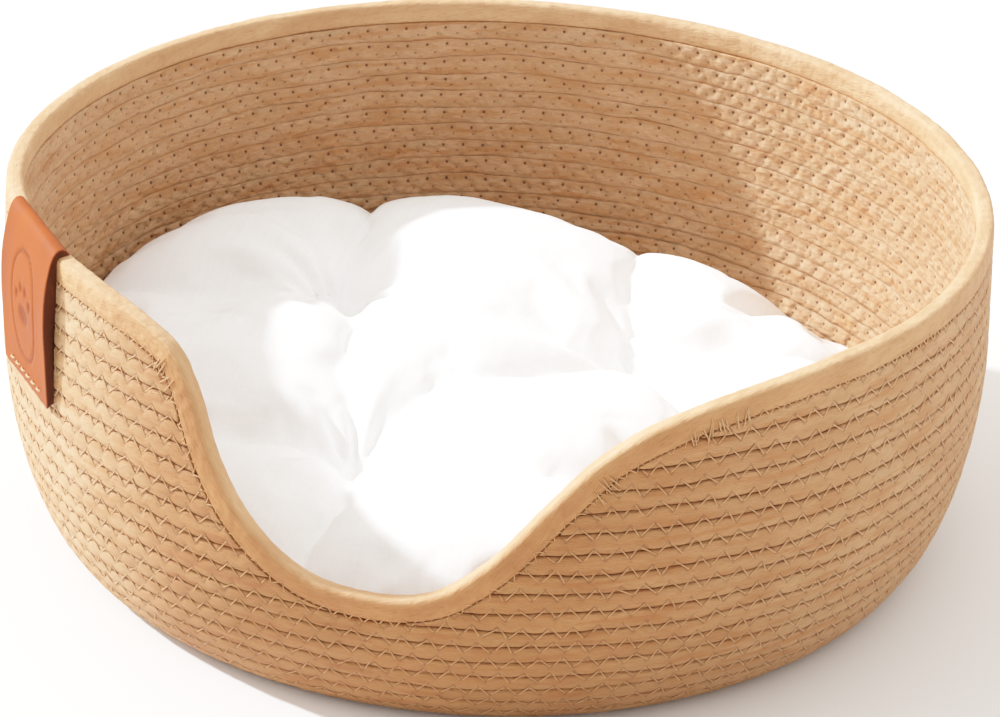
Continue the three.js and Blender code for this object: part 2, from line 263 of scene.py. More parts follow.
def rim_line(step):
    """Points (distance round the rim, height of its top), and the unit tangent at each."""
    outline = [(angle * ARC_PER_DEGREE, RIM_HEIGHT - drop * ROW_COUNT * ROW_PITCH)
               for angle, drop in ENTRANCE_OUTLINE]
    dip = spline_points(outline, int(370 / step))
    start = dip[-1, 0]
    length = 360 * ARC_PER_DEGREE - (start - dip[0, 0])
    count = int(length / step)
    rest = start + length * np.arange(1, count) / count
    line = np.vstack([dip, np.stack([rest, np.full(len(rest), RIM_HEIGHT)], -1)])
    ahead = np.roll(line, -1, 0) - np.roll(line, 1, 0)
    ahead[:, 0] %= 360 * ARC_PER_DEGREE
    tangent = ahead / np.linalg.norm(ahead, axis=1, keepdims=True)
    return line, tangent


def run_of(height):
    return LOWER_RUN + height - LOWER_WALL_HEIGHT


def cut_run(angle):
    """How far up the meridian the rows reach at an angle, under the rim's binding."""
    line, tangent = rim_line(1.0)
    depth = BINDING_DIAMETER + GAP / 2
    x = line[:, 0] + tangent[:, 1] * depth
    y = line[:, 1] - tangent[:, 0] * depth
    order = np.argsort(x)
    round_trip = 360 * ARC_PER_DEGREE
    first = x[order[0]]
    wrapped = (angle * ARC_PER_DEGREE - first) % round_trip + first
    return run_of(np.interp(wrapped, x[order], y[order], period=round_trip))


# ---------- the rope rows

# A row's section: shares of its half height, up the outside and back down the inside
OUTER_SHARES = np.array([-0.985, -0.9, -0.7, -0.38, 0.0, 0.38, 0.7, 0.9, 0.985])
INNER_SHARES = np.array([0.993, 0.93, 0.5, 0.0, -0.5, -0.93, -0.993])
OUTER_POWER = 6.5
INNER_POWER = 24.0


def section_out(share, power=OUTER_POWER):
    return (1 - np.abs(share) ** power) ** (1 / power)


class Seam:
    """A zig-zag seam round the wall: its height up the meridian, stitches and wobble."""

    def __init__(self, run, wobble, phase):
        self.run = run
        radius = float(np.interp(run, RUN, RUN_RADIUS)) if run < LOWER_RUN else RIM_RADIUS
        self.stitches = round(2 * math.pi * radius / STITCH_LENGTH)
        self.phase = phase / STEPS_PER_STITCH
        self.fine = np.linspace(0, 2 * np.pi, 2048, endpoint=False)
        self.wave = (ripple(self.fine, 3, 24, 0.36 * wobble)
                     + ripple(self.fine, 25, 90, 0.11 * wobble))

    def at(self, angle):
        """The seam's distance up the meridian at an angle."""
        theta = np.radians(angle) % (2 * np.pi)
        return self.run + np.interp(theta, self.fine, self.wave, period=2 * np.pi)

    def turns(self, angle):
        """How many stitches lie before an angle: whole at an upper hole, and a half at a lower."""
        return angle / 360 * self.stitches + self.phase

    def relief(self, angle, level, above):
        """How deep the seam presses into a row, and how near a needle hole is, from 0 to 1."""
        turn = self.turns(angle) % 1
        zigzag = STITCH_REACH * (4 * np.abs(turn - 0.5) - 1)
        height = level if above else -level
        leg = np.exp(-((height - zigzag) * LEG_SLOPE / 0.7) ** 2)
        leg = leg * (level < STITCH_REACH + 0.8)
        centre = 0.0 if above else 0.5
        along = ((turn - centre + 0.5) % 1 - 0.5) * STITCH_LENGTH
        hole = np.exp(-((along / 1.7) ** 2 + ((level - STITCH_REACH) / 1.4) ** 2))
        return leg, hole


def make_seams():
    seams = []
    for turn in range(LOWER_TURNS):
        run = turn * LOWER_RUN / LOWER_TURNS
        seams.append(Seam(run, min(turn, 1), RNG.randint(STEPS_PER_STITCH)))
    for row in range(ROW_COUNT + 1):
        wobble = 0.25 if row == ROW_COUNT else 1
        seams.append(Seam(LOWER_RUN + row * ROW_PITCH, wobble, RNG.randint(STEPS_PER_STITCH)))
    return seams


SEAMS = make_seams()


def row_part(index, fine=True):
    """One row of rope: a ring, or a length that stops at the entrance."""
    low, high = SEAMS[index], SEAMS[index + 1]
    stations = high.stitches * STEPS_PER_STITCH
    angle = 360 * np.arange(stations + 1) / stations
    keep = cut_run(angle[:-1]) - 0.1 > low.at(angle[:-1]) + 0.9
    closed = bool(keep.all())
    if not closed:
        first = int(np.argmax(keep & ~np.roll(keep, 1)))
        angle = 360 * (first + np.arange(int(keep.sum()))) / stations
    bottom, top = low.at(angle), high.at(angle)
    limit = cut_run(angle) - 0.1
    theta = np.radians(angle)
    thickness = 1 + ripple(theta, 5, 60, 0.02)
    opening = 0.02 + np.maximum(ripple(theta, 8, 60, 0.1) - 0.04, 0)
    inner_shares = INNER_SHARES if fine else INNER_SHARES[::2]
    shares = np.concatenate([OUTER_SHARES, inner_shares])
    side = np.concatenate([np.ones(len(OUTER_SHARES)), -np.ones(len(inner_shares))])
    run = (bottom + top)[:, None] / 2 + ((top - bottom) / 2 - opening)[:, None] * shares
    run = np.minimum(run, limit[:, None])
    power = np.where(side > 0, OUTER_POWER, INNER_POWER)
    out = ROPE_THICKNESS / 2 * section_out(shares, power) * side * thickness[:, None]
    turning = angle[:, None] + 0 * run
    above, under = run - bottom[:, None], top[:, None] - run
    leg_low, hole_low = low.relief(turning, above, True)
    leg_high, hole_high = high.relief(turning, under, False)
    legs = np.maximum(leg_low, leg_high)
    holes = np.maximum(hole_low * 0.7, hole_high)
    outside = side > 0
    press = np.where(outside, 0.2, 0.15) * legs + np.where(outside, 0.25, 1.25) * holes
    out = out - side * press
    points = wall_point(turning, run, out)
    points[..., 2] = np.maximum(points[..., 2], 0)
    across = np.cumsum(np.abs(np.diff(shares, prepend=shares[0], append=shares[0]))) * 4.2
    across = across[None] + 0 * turning[:, :1] + index * 17.0
    along = theta[:, None] * RIM_RADIUS + 0 * across
    wrap = [*range(len(shares)), 0]
    uvs = {
        "rope": np.stack([along, across], -1),
        "low": np.stack([low.turns(turning[:, wrap]), above[:, wrap]], -1),
        "high": np.stack([high.turns(turning[:, wrap]), under[:, wrap]], -1),
    }
    if closed:
        points = points[:-1]
    values = {
        "outer": np.repeat((side > 0)[None].astype(float), len(points), 0),
        "tint": np.full(points.shape[:2], RNG.uniform(0, 1)),
    }
    return tube_part(points, closed, uvs, values)


def rope_rows(material):
    for row in range(ROW_COUNT):
        mesh = mesh_from(f"rope_row_{row + 1:02d}", [row_part(LOWER_TURNS + row)])
        add_piece(mesh, "basket", material, [f"wall_row_{row + 1:02d}"])


def lower_wall(material):
    """The whole turns under the entrance, as one piece, with a coarser inner side."""
    mesh = mesh_from("rope_lower_wall", [row_part(turn, False) for turn in range(LOWER_TURNS)])
    add_piece(mesh, "basket", material, ["lower_wall_coil"])


# ---------- the zig-zag threads

def zigzag_legs(reach):
    """A zig-zag between corners of these reaches: leg, the leg after it, share of it, height."""
    legs = len(reach)
    leg = np.repeat(np.arange(legs), len(LEG_SHARES))
    share = np.tile(LEG_SHARES, legs)
    after = (leg + 1) % legs
    sign = np.where(leg % 2 == 0, 1.0, -1.0)
    height = sign * (reach[leg] * (1 - share) - reach[after] * share)
    return leg, after, share, height


def zigzag_runs(seam):
    """A seam's path: angle, height over the seam and depth out of the wall's middle."""
    legs = 2 * seam.stitches
    jitter = RNG.normal(0, 0.08, legs)
    reach = STITCH_REACH * RNG.normal(1, 0.14, legs)
    leg, after, share, height = zigzag_legs(reach)
    place = (leg + share) / 2 + jitter[leg] * (1 - share) + jitter[after] * share
    angle = 360 * (place - seam.phase) / seam.stitches
    sunk = RNG.uniform(0, 1, legs) * np.where(np.arange(legs) % 2 == 1, 0.34, 0.14)
    out = np.tile(SEAM_OUTS, legs) - sunk[leg]
    return angle, height, out


def wall_seam_thread(name, seam, material):
    angle, height, out = zigzag_runs(seam)
    run = seam.at(angle) + height
    limit = cut_run(angle) - 1.2
    points = wall_point(angle, run, out)
    keep = run < limit
    paths = []
    if keep.all():
        paths.append((points, True))
    else:
        edges = np.flatnonzero(keep & ~np.roll(keep, 1))
        for start in edges:
            order = (start + np.arange(len(keep))) % len(keep)
            stop = int(np.argmax(~keep[order]))
            if stop > 2:
                paths.append((points[order[:stop]], False))
    mesh = thread_mesh(name, paths, THREAD_RADIUS)
    add_piece(mesh, "basket", material)


# ---------- the binding

# Where the binding is sewn over again: angle, number of stitches, and reach along the rim in mm
BACK_TACKS = [(36, 16, 12), (22, 6, 5), (-24, 5, 6)]


def binding_section(phase, around):
    """The binding's creased section at places round the rim: how far out and how far up."""
    strength = 0.55 + 0.45 * np.cos(5 * phase + 1) * np.cos(13 * phase)
    twist = phase * 58 + around[None]
    crease = np.maximum(np.sin(twist), 0) ** 6 * 0.2 * strength
    crease = crease + 0.05 * np.sin(3 * twist + 5 * np.cos(7 * phase))
    size = (1 + ripple(phase[:, 0], 4, 50, 0.016))[:, None]
    cos, sin = np.cos(around), np.sin(around)
    flat = (np.abs(cos) ** BINDING_POWER + np.abs(sin) ** BINDING_POWER) ** (-1 / BINDING_POWER)
    out = (BINDING_WIDTH / 2 * flat * size - crease) * cos
    out = np.where(cos < 0, out * BINDING_INSIDE, out)
    up = (BINDING_DIAMETER / 2 * flat * size - crease) * sin
    return out, up - BINDING_SEAT * np.clip(-3 * sin, 0, 1)


def binding(rope, thread):
    line, tangent = rim_line(BINDING_STEP)
    centre = line + np.stack([tangent[:, 1], -tangent[:, 0]], -1) * BINDING_DIAMETER / 2
    steps = np.hypot(*(np.roll(line, -1, 0) - line).T)
    steps[-1] = steps[-2]
    along = np.concatenate([[0], np.cumsum(steps)])
    around = 2 * np.pi * np.arange(BINDING_SIDES) / BINDING_SIDES
    out, up = binding_section(2 * np.pi * (along[:-1] / along[-1])[:, None], around)
    angle = (centre[:, 0, None] - up * tangent[:, 1, None]) / ARC_PER_DEGREE
    run = run_of(centre[:, 1, None] + up * tangent[:, 0, None])
    points = wall_point(angle, run, out)[:, ::-1]
    around_run = np.arange(BINDING_SIDES + 1) / BINDING_SIDES * math.pi * BINDING_DIAMETER
    uvs = {"rope": np.stack(np.broadcast_arrays(along[:, None], around_run[None]), -1)}
    # Painted shade: side runs from 0 on the binding's top and inner face to 1 on its outer face and
    # underside, which the material darkens.
    side = np.cos(around) - np.maximum(np.sin(around), 0)
    side = np.clip((side + 0.35) / 0.7, 0, 1)[::-1]
    values = {"side": np.repeat(side[None], len(points), 0)}
    mesh = mesh_from("rope_binding", [tube_part(points, True, uvs, values)])
    add_piece(mesh, "basket", rope, ["rim_binding"])
    binding_thread(line, tangent, along[:-1], thread)


def back_tack(line, tangent, angle, count, spread):
    """A cluster of short stitches across the binding's seam, where a length of sewing ends."""
    paths = []
    share = np.linspace(-1, 1, 9)
    for place in angle * ARC_PER_DEGREE + RNG.uniform(-spread, spread, count):
        index = int(np.argmin(np.abs(line[:, 0] - place)))
        (x, y), (tx, ty) = line[index], tangent[index]
        depth = BINDING_DIAMETER + RNG.uniform(-2, 1) + share * RNG.uniform(3, 4.6)
        slide = share * RNG.normal(0, 0.7)
        out = 4.15 - 1.3 * share ** 8
        run = run_of(y - tx * depth + ty * slide)
        paths.append((wall_point((x + ty * depth + tx * slide) / ARC_PER_DEGREE, run, out), False))
    return paths


def binding_thread(line, tangent, along, material):
    """The zig-zag that holds the binding to the cut ends of the rows."""
    length = along[-1]
    legs = 2 * round(length / BINDING_STITCH)
    leg, _, share, height = zigzag_legs(BINDING_REACH * RNG.normal(1, 0.16, legs))
    place = (leg + share) / legs * length
    x, y, tx, ty = (np.interp(place, along, column) for column in (*line.T, *tangent.T))
    depth = BINDING_DIAMETER - height
    angle = (x + ty * depth) / ARC_PER_DEGREE
    run = run_of(y - tx * depth)
    paths = [(wall_point(angle, run, np.tile(BINDING_OUTS, legs)), True)]
    for tack_angle, count, spread in BACK_TACKS:
        paths += back_tack(line, tangent, tack_angle, count, spread)
    mesh = thread_mesh("binding_stitches", paths, THREAD_RADIUS)
    add_piece(mesh, "basket", material)


# ---------- the base

def base_part(radius, theta, along, limit):
    """A length of the base's rope, lying flat; nothing of it reaches past the limit."""
    shares = np.array([-0.98, -0.85, -0.45, 0.0, 0.45, 0.85, 0.98])
    shares = np.concatenate([shares, shares[::-1]])
    sides = len(shares)
    side = np.repeat([1.0, -1.0], sides // 2)
    across = np.minimum(radius[:, None] - (ROW_PITCH / 2 - 0.06) * shares, limit)
    height = ROPE_THICKNESS / 2 * (1 + section_out(shares) * side) + 0 * across
    turn = theta[:, None] - math.pi / 2
    points = np.stack([across * np.cos(turn), across * np.sin(turn), height], -1)
    lap = np.arange(sides + 1) * 1.6
    from_inner = (across - radius[:, None] + ROW_PITCH / 2)[:, [*range(sides), 0]]
    turns = along[:, None] / STITCH_LENGTH + 0 * from_inner
    uvs = {"rope": np.stack(np.broadcast_arrays(along[:, None], lap[None]), -1),
           "low": np.stack([turns, from_inner], -1),
           "high": np.stack([turns, ROW_PITCH - from_inner], -1)}
    values = {"outer": np.repeat((side < 0)[None].astype(float), len(points), 0),
              "tint": np.full(points.shape[:2], 0.5)}
    return points, uvs, values


def base_spiral(material):
    """The base: a spiral of rope, whose last turn dies away inside one closed ring."""
    ring_radius = BASE_RADIUS - GAP - ROW_PITCH / 2
    turn = 2 * np.pi * np.arange(541) / 540
    points, uvs, values = base_part(ring_radius + 0 * turn, turn, turn * ring_radius, BASE_RADIUS)
    values = {key: grid[:-1] for key, grid in values.items()}
    ring = tube_part(points[:-1], True, uvs, values)
    inside = ring_radius - ROW_PITCH / 2 - 0.05
    sweep = 2 * np.pi * (inside / ROW_PITCH + 0.42)
    length = ROW_PITCH * sweep ** 2 / (4 * np.pi)
    share = np.linspace(0.0004, 1, int(length / 2.2))
    phi = sweep * np.sqrt(share)
    points, uvs, values = base_part(ROW_PITCH * phi / (2 * np.pi), phi, length * share, inside)
    spiral = tube_part(points, False, uvs, values)
    mesh = mesh_from("rope_base_spiral", [ring, spiral])
    add_piece(mesh, "basket", material, ["base_coil"])


# ---------- the cushion

CUSHION_RADIUS = 185.5
CUSHION_FLOOR = 8.6
CUSHION_SEAM = 33.0
CUSHION_CROWN = 69.0
TUFTS = [(56, 27), (-79, 46), (-38, -82), (96, -90)]
TUFT_TOP = 40.0
TUFT_SPREAD = 4.5  # points this near a tuft are held down by it
GRID = 92
SIM_FRAMES = 22
MOST_SWELL = 15.0
CLOTH = {"quality": 6, "mass": 0.2, "tension_stiffness": 18, "compression_stiffness": 9,
         "shear_stiffness": 6, "bending_stiffness": 0.35, "air_damping": 2.5,
         "use_pressure": True, "uniform_pressure_force": 2.4, "shrink_min": -0.06}

# Where the cover creases: from tuft to tuft, and from the tufts out to the edge
CREASES = [
    [(-79, 46), (-84, 100), (-92, 158)],
    [(56, 27), (37, 98), (32, 176)],
    [(-79, 46), (-60, 14), (-57, -30), (-38, -82)],
    [(-38, -82), (-14, -38), (20, -16), (56, 27)],
    [(-79, 46), (-24, 30), (56, 27)],
    [(56, 27), (86, -30), (96, -90)],
    [(-38, -82), (30, -96), (96, -90)],
    [(-79, 46), (-124, 26), (-180, 20)],
    [(-38, -82), (-84, -84), (-140, -110)],
    [(-38, -82), (-30, -130), (-38, -176)],
    [(96, -90), (128, -126)],
    [(96, -90), (82, -160)],
    [(56, 27), (110, 40), (176, 44)],
    [(96, -90), (150, -82), (172, -60)],
]


# Where the cushion's edge is not level: how much higher it lies, in mm, at what angle, how wide
LEANS = [(24, 250, 38), (-20, 155, 42)]


def cushion_lean(x, y):
    """How much higher than level the cushion's edge lies, in the direction of a place."""
    angle = np.degrees(np.arctan2(y, x)) + 90
    return sum(rise * bell(angle, centre, width) for rise, centre, width in LEANS)


def disc_grid():
    """A square grid bent onto a disc, with the grid's own (x, y) from -1 to 1."""
    side = np.linspace(-1, 1, GRID + 1)
    a, b = np.meshgrid(side, side, indexing="ij")
    wide = np.abs(a) >= np.abs(b)
    radius = np.where(wide, a, b)
    ratio = np.where(wide, b, a) / np.where(radius == 0, 1, radius)
    turn = np.where(wide, math.pi / 4 * ratio, math.pi / 2 - math.pi / 4 * ratio)
    return radius * np.cos(turn), radius * np.sin(turn)


def crease_distance(x, y):
    """The distance to the nearest crease, softened where creases meet."""
    total = np.zeros_like(x)
    for crease in CREASES:
        for (x0, y0), (x1, y1) in zip(crease, crease[1:]):
            dx, dy = x1 - x0, y1 - y0
            share = np.clip(((x - x0) * dx + (y - y0) * dy) / (dx * dx + dy * dy), 0, 1)
            distance = np.hypot(x - x0 - share * dx, y - y0 - share * dy)
            total += np.exp(-distance / 5)
    return -5 * np.log(np.minimum(total, 1))


def cushion_start():
    """The cover before it is blown up: its points, quads, and which points are tufts."""
    u, v = disc_grid()
    radius = np.hypot(u, v)
    x, y = u * CUSHION_RADIUS, v * CUSHION_RADIUS
    dome = np.sqrt(np.clip(1 - radius ** 5, 0, 1))
    valley = np.exp(-crease_distance(x, y) / 14)
    pull = np.zeros_like(x)
    for tx, ty in TUFTS:
        pull = np.maximum(pull, np.exp(-(np.hypot(x - tx, y - ty) / 17) ** 2))
    puff = 1 - 0.36 * valley - 0.3 * pull
    lean = cushion_lean(x, y) * np.minimum(radius, 1) ** 2
    seam = CUSHION_SEAM + 0.5 * lean
    top = seam + (CUSHION_CROWN + lean - seam) * dome * puff
    rim = np.clip((radius - 0.76) / 0.24, 0, 1)
    bottom = CUSHION_FLOOR + (seam - CUSHION_FLOOR) * (1 - np.sqrt(1 - rim ** 2))
    count = GRID + 1
    edge = np.zeros((count, count), bool)
    edge[0] = edge[-1] = edge[:, 0] = edge[:, -1] = True
    upper = np.arange(count * count).reshape(count, count)
    lower = upper.copy()
    lower[~edge] = count * count + np.arange(int((~edge).sum()))
    points = np.concatenate([np.stack([x, y, top], -1).reshape(-1, 3),
                             np.stack([x, y, bottom], -1)[~edge]])
    ring = [upper[:-1, :-1], upper[1:, :-1], upper[1:, 1:], upper[:-1, 1:]]
    under = [lower[:-1, :-1], lower[:-1, 1:], lower[1:, 1:], lower[1:, :-1]]
    quads = np.concatenate([np.stack(ring, -1).reshape(-1, 4), np.stack(under, -1).reshape(-1, 4)])
    held = np.zeros(len(points))
    held[upper[edge]] = 1
    for tx, ty in TUFTS:
        away = np.hypot(points[:, 0] - tx, points[:, 1] - ty)
        held[away < TUFT_SPREAD] = 1
        points[(away < TUFT_SPREAD) & (points[:, 2] > CUSHION_SEAM), 2] = TUFT_TOP
    return points, quads, held


def basket_mould():
    """The inside of the basket, which the cushion swells against."""
    heights = np.linspace(1.0, 120.0, 30)
    radii = wall_radius(heights) - ROPE_THICKNESS - 0.8
    floor = ROPE_THICKNESS + 0.2
    radii = np.concatenate([[5.0, BASE_RADIUS * 0.5], radii[heights > floor + 2]])
    heights = np.concatenate([[floor, floor], heights[heights > floor + 2]])
    around = np.linspace(0, 2 * np.pi, 65)
    points = np.stack([radii[None] * np.cos(around[:, None]),
                       radii[None] * np.sin(around[:, None]),
                       heights[None] + 0 * around[:, None]], -1)
    stations, rows = points.shape[:2]
    index = np.arange(stations * rows).reshape(stations, rows)
    quads = np.stack([index[:-1, :-1], index[:-1, 1:], index[1:, 1:], index[1:, :-1]], -1)
    mould = new_object("mould", quad_mesh("mould", points.reshape(-1, 3), quads.reshape(-1, 4)))
    mould.modifiers.new("collision", "COLLISION")
    mould.collision.thickness_outer = 0.001
    mould.collision.cloth_friction = 8
    return mould


def blow_up(points, quads, held):
    """Inflate the cover inside the basket by cloth simulation, held at its tufts."""
    mould = basket_mould()
    cover = new_object("cover", quad_mesh("cover", points, quads))
    group = cover.vertex_groups.new(name="held")
    group.add([int(index) for index in np.flatnonzero(held)], 1.0, "REPLACE")
    cloth = cover.modifiers.new("cloth", "CLOTH")
    for key, value in CLOTH.items():
        setattr(cloth.settings, key, value)
    cloth.settings.vertex_group_mass = "held"
    cloth.settings.effector_weights.gravity = 0.0
    cloth.collision_settings.collision_quality = 3
    cloth.collision_settings.distance_min = 0.001
    cloth.point_cache.frame_start = 1
    cloth.point_cache.frame_end = SIM_FRAMES
    scene = bpy.context.scene
    for frame_number in range(1, SIM_FRAMES + 1):
        scene.frame_set(frame_number)
    evaluated = cover.evaluated_get(bpy.context.evaluated_depsgraph_get()).to_mesh()
    result = np.empty(len(points) * 3, np.float32)
    evaluated.vertices.foreach_get("co", result)
    for thing in (cover, mould):
        bpy.data.objects.remove(thing)
    scene.frame_set(1)
    return result.reshape(-1, 3).astype(float) / MM


def settle(points, start):
    """Cap how far the cover has swelled, and keep it on the base and inside the wall."""
    move = points - start
    far = np.linalg.norm(move, axis=1, keepdims=True) + 1e-9
    points = start + move * (MOST_SWELL * np.tanh(far / MOST_SWELL) / far)
    points[:, 2] = np.maximum(points[:, 2], CUSHION_FLOOR)
    radius = np.hypot(points[:, 0], points[:, 1])
    limit = wall_radius(points[:, 2]) - ROPE_THICKNESS - 1.2
    points[:, :2] *= np.minimum(1, limit / np.maximum(radius, 1))[:, None]
    return points


def subdivided(mesh_name, points, quads):
    thing = new_object("rough", quad_mesh("rough", points, quads))
    modifier = thing.modifiers.new("smooth", "SUBSURF")
    modifier.levels = modifier.render_levels = 1
    graph = bpy.context.evaluated_depsgraph_get()
    mesh = bpy.data.meshes.new_from_object(thing.evaluated_get(graph))
    mesh.name = mesh_name
    fill(mesh.polygons, "use_smooth", np.ones(len(mesh.polygons)), bool)
    bpy.data.objects.remove(thing)
    return mesh


def pleat(mesh):
    """Press small folds into the cover's top, which run out from each tuft."""
    places = np.empty(len(mesh.vertices) * 3, np.float32)
    mesh.vertices.foreach_get("co", places)
    places = places.reshape(-1, 3) / MM
    upper = np.clip((places[:, 2] - TUFT_TOP + 4) / 8, 0, 1)
    for tx, ty in TUFTS:
        away = np.hypot(places[:, 0] - tx, places[:, 1] - ty)
        turn = np.arctan2(places[:, 1] - ty, places[:, 0] - tx)
        size = 1.5 * np.clip((away - 5) / 9, 0, 1) * np.exp(-np.maximum(away - 14, 0) / 24)
        places[:, 2] += upper * size * ripple(turn, 6, 14, 1.0)
    fill(mesh.vertices, "co", places * MM)
    mesh.update()


def cushion(cover_material, filling_material, thread_material):
    points, quads, held = cushion_start()
    points = settle(blow_up(points, quads, held), points)
    mesh = subdivided("cushion_cover", points, quads)
    pleat(mesh)
    cover = add_piece(mesh, "cushion", cover_material,
                      ["cushion_top_panel", "cushion_bottom_panel"])
    filling(points, quads, filling_material)
    for number, tuft in enumerate(TUFTS):
        tuft_tack(number + 1, tuft, points, thread_material)


def filling(points, quads, material):
    """The fibre inside the cover: the same shape, a little smaller."""
    centre = np.array([0, 0, CUSHION_SEAM])
    inner = centre + (points - centre) * np.array([0.985, 0.985, 0.86])
    add_piece(quad_mesh("fibre_filling", inner, quads), "cushion", material,
              ["cushion_filling"])


def tuft_tack(number, tuft, points, material):
    """A cross of thread that pulls the cover down, over and under the cushion."""
    away = np.hypot(points[:, 0] - tuft[0], points[:, 1] - tuft[1])
    upper = points[(away < 6) & (points[:, 2] > CUSHION_SEAM - 8), 2]
    top = upper.min() if len(upper) else TUFT_TOP
    paths = []
    for turn in (0.4, 0.4 + math.pi / 2):
        way = np.array([math.cos(turn), math.sin(turn), 0])
        for height, rise in ((top, 1.0), (CUSHION_FLOOR, 0.0)):
            share = np.linspace(-1, 1, 9)
            arc = np.array([*tuft, height]) + share[:, None] * way * 3.2
            arc[:, 2] += rise * (0.7 - 1.6 * share ** 4) + 0.35
            paths.append((arc, False))
    core = np.array([[*tuft, CUSHION_FLOOR + 0.4], [*tuft, CUSHION_SEAM], [*tuft, top]])
    paths.append((core, False))
    add_piece(thread_mesh(f"tuft_tack_{number}", paths, 0.45), "cushion", material,
              [f"tuft_thread_{number}"])


# ---------- the leather tag

TAG_ANGLE = -51.2
TAG_WIDTH = 50.0
TAG_BOTTOM = 91.5
TAG_THICKNESS = 1.1
TAG_ROUND = 3.0
TAG_SLANT = 6.0
TAG_LENGTH = 142.0
TAG_BEVEL = 0.7
STAMP_DEPTH = 0.5


def tag_profile(share):
    """The middle of the leather from its inner end over the rim to its outer end, in mm.

    share runs across the tag, from 0 at its far side to 1 by the entrance, and the fold stands
    a little higher over the rim at the far side. Gives distance from the axis and height.
    """
    crest = RIM_HEIGHT * float(wall_lift(np.array(TAG_ANGLE)))
    rise = 4.4 - 1.8 * share
    outline = [
        (190.9, TAG_BOTTOM + 3), (190.9, 120), (190.9, crest - 8), (192.0, crest - 2.5),
        (195.6, crest + rise - 0.2), (199.4, crest + rise * 0.75 - 0.6), (202.6, crest - 6),
        (204.2, crest - 16), (204.8, crest - 28), (204.5, crest - 42), (203.8, TAG_BOTTOM),
    ]
    return spline_points(outline, 90)


def paw(x, y):
    """How deep a plain paw print is pressed at a place on the tag's face."""
    depth = np.exp(-((x / 4.2) ** 2 + ((y + 3) / 3.4) ** 2) ** 3)
    for px, py in ((-5.6, 2.4), (-2.1, 5.6), (2.1, 5.6), (5.6, 2.4)):
        depth = np.maximum(depth, np.exp(-(((x - px) / 1.4) ** 2 + ((y - py) / 1.8) ** 2) ** 3))
    return depth


def tag_press(across, down):
    """The stamped ring and print on the outer leg; down is measured from the rim's top."""
    x = across
    y = -(down - 33)
    ring = np.abs((np.abs(x / 12.5) ** 2.4 + np.abs(y / 22.5) ** 2.4) ** (1 / 2.4) - 1) * 14
    stamp = np.exp(-(ring / 0.65) ** 2)
    return np.maximum(stamp, paw(x * 0.8, y * 0.8))


def tag_axes():
    """Which way the tag faces, and which way runs across it."""
    turn = math.radians(TAG_ANGLE - 90)
    out = np.array([math.cos(turn), math.sin(turn), 0])
    way = np.array([-math.sin(turn), math.cos(turn), 0])
    return out, way


def leather_tag(material):
    count = 64
    across = np.linspace(-TAG_WIDTH / 2, TAG_WIDTH / 2, count)
    sheet = np.stack([tag_profile(0.5 + x / TAG_WIDTH) for x in across])
    ahead = np.gradient(sheet, axis=1)
    ahead /= np.linalg.norm(ahead, axis=2, keepdims=True)
    normal = np.stack([-ahead[..., 1], ahead[..., 0]], -1)
    steps = sheet.shape[1]
    crest = sheet[..., 1].max(1)
    outer_leg = np.arange(steps)[None] > sheet[..., 1].argmax(1)[:, None]
    down = np.where(outer_leg, crest[:, None] - sheet[..., 1], -30)
    press = tag_press(across[:, None] + 0 * down, down)
    from_side = TAG_WIDTH / 2 - np.abs(across)[:, None] + 0 * down
    run = np.linspace(0, 1, steps)[None] * TAG_LENGTH + 0 * down
    from_end = np.minimum(run, TAG_LENGTH - run)
    from_edge = np.minimum(from_side, from_end)
    inward = np.clip(from_edge / TAG_BEVEL, 0, 1)
    half = TAG_THICKNESS / 2 * (0.25 + 0.75 * np.sqrt(inward * (2 - inward)))
    curl = 0.4 * np.exp(-from_side / 4.0) * outer_leg * np.clip(down / 20, 0, 1)
    corner = np.hypot(np.maximum(TAG_ROUND - from_side, 0), np.maximum(TAG_ROUND - from_end, 0))
    tuck = np.maximum(corner - TAG_ROUND, 0) * 0.9
    slant = TAG_SLANT * (1 - np.clip((run - 50) / 32, 0, 1))
    sideways = (across[:, None] - slant) - np.sign(across)[:, None] * tuck
    out, way = tag_axes()
    faces = []
    for offset in (half - press * STAMP_DEPTH, -half):
        radial = sheet[..., 0] + normal[..., 0] * offset + curl
        height = sheet[..., 1] + normal[..., 1] * offset + tuck
        flat = radial[..., None] * out + sideways[..., None] * way
        faces.append(flat + height[..., None] * np.array([0, 0, 1]))
    points = np.concatenate([faces[0], faces[1][:, ::-1]], 1)
    edge = np.exp(-from_edge / 0.5)
    values = {"edge": np.concatenate([edge, edge[:, ::-1]], 1),
              "pressed": np.concatenate([press, 0 * press], 1)}
    mesh = mesh_from("folded_tag", [tube_part(points[::-1], False, values={
        key: grid[::-1] for key, grid in values.items()})])
    add_piece(mesh, "basket", material, ["leather_tag"])


def tag_stitches(material):
    """A row of short stitches that fasten the tag's lower edge."""
    paths = []
    out, way = tag_axes()
    for place in np.linspace(-15, 15, 6):
        share = np.linspace(0, 1, 9)
        bow = 0.55 - 1.8 * (2 * share - 1) ** 6
        middle = out * 204.6 + way * place + np.array([0, 0, TAG_BOTTOM + 5])
        arc = middle + np.outer((share - 0.5) * 3.6, way) + np.outer(bow, out)
        paths.append((arc, False))
    add_piece(thread_mesh("tag_stitching", paths, 0.42), "basket", material,
              ["tag_stitch"])


# ---------- materials

